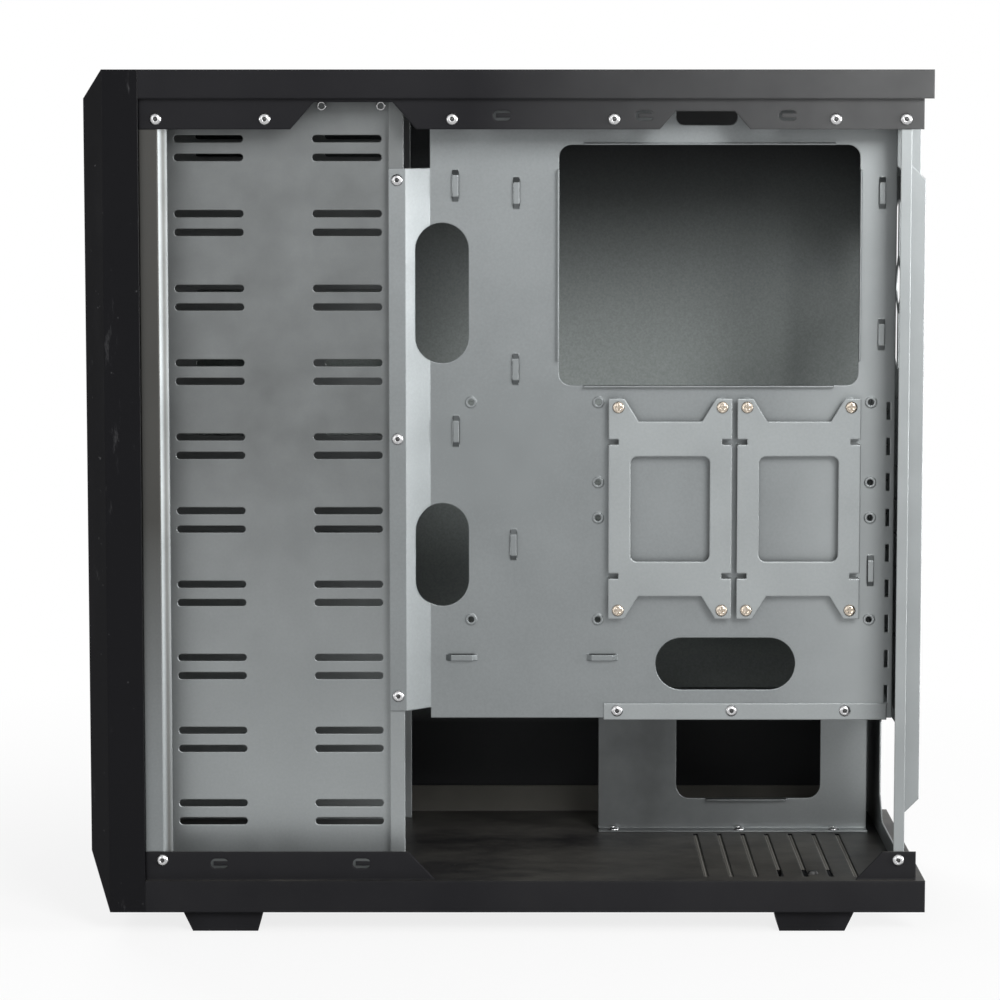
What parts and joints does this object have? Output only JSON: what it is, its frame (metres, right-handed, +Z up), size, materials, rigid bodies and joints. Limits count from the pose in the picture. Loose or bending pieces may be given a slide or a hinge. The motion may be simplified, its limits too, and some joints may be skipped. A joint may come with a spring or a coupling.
{
  "type": "mid tower pc case",
  "caption": "Empty mid tower PC case with its right side panel off: zinc-plated chassis with cable openings and drive brackets, black roof, base and front bezel.",
  "frame": {"origin": "middle of the footprint on the surface that the feet stand on", "axes": "+Z up, +X from the front bezel to the rear wall, -Y towards the open right side"},
  "size_m": [0.472, 0.216, 0.486],
  "materials": {
    "zinc_sheet": "zinc-plated sheet, satin",
    "bracket_sheet": "zinc-plated sheet, satin",
    "black_paint": "satin black powder coat",
    "panel_paint": "dark grey paint",
    "bezel_plastic": "gloss black moulding",
    "cover_plastic": "matt black moulding",
    "switch_plastic": "matt black moulding",
    "foot_plastic": "matt black moulding",
    "bright_rivet": "bright plated steel",
    "dark_screw": "blackened steel",
    "nickel_screw": "nickel plate",
    "clear_light": "clear moulding"
  },
  "bodies": {
    "chassis": {"base_pan": "black_paint", "bay_cover_1": "cover_plastic", "bay_cover_10": "cover_plastic", "bay_cover_2": "cover_plastic", "bay_cover_3": "cover_plastic", "bay_cover_4": "cover_plastic", "bay_cover_5": "cover_plastic", "bay_cover_6": "cover_plastic", "bay_cover_7": "cover_plastic", "bay_cover_8": "cover_plastic", "bay_cover_9": "cover_plastic", "bracket_screws": "nickel_screw", "divider_foot_screws": "bright_rivet", "divider_rivets": "bright_rivet", "drive_bracket_front": "bracket_sheet", "drive_bracket_rear": "bracket_sheet", "drive_wall_left": "zinc_sheet", "drive_wall_right": "zinc_sheet", "dust_filter": "foot_plastic", "foot_front_left": "foot_plastic", "foot_front_right": "foot_plastic", "foot_rear_left": "foot_plastic", "foot_rear_right": "foot_plastic", "foot_screws": "dark_screw", "front_bezel": "bezel_plastic", "front_plate": "zinc_sheet", "left_panel": "panel_paint", "light_pipes": "clear_light", "motherboard_tray": "zinc_sheet", "panel_thumbscrews": "dark_screw", "post_rivets": "bright_rivet", "rail_rivets": "bright_rivet", "rear_wall": "zinc_sheet", "roof_panel": "black_paint", "slot_cover_1": "zinc_sheet", "slot_cover_2": "zinc_sheet", "slot_cover_3": "zinc_sheet", "slot_cover_4": "zinc_sheet", "slot_cover_5": "zinc_sheet", "slot_cover_6": "zinc_sheet", "slot_cover_7": "zinc_sheet", "slot_cover_8": "zinc_sheet", "slot_screws": "bright_rivet", "supply_divider": "zinc_sheet", "switch_block": "switch_plastic"},
    "power_key": {"power_button": "switch_plastic"},
    "reset_key": {"reset_button": "switch_plastic"}
  },
  "joints": [
    {"name": "power_press", "type": "slide", "parent": "chassis", "child": "power_key", "axis": [0, 0, -1], "range_m": [0, 0.0015], "stiffness_N_per_m": 600},
    {"name": "reset_press", "type": "slide", "parent": "chassis", "child": "reset_key", "axis": [0, 0, -1], "range_m": [0, 0.0015], "stiffness_N_per_m": 600}
  ]
}
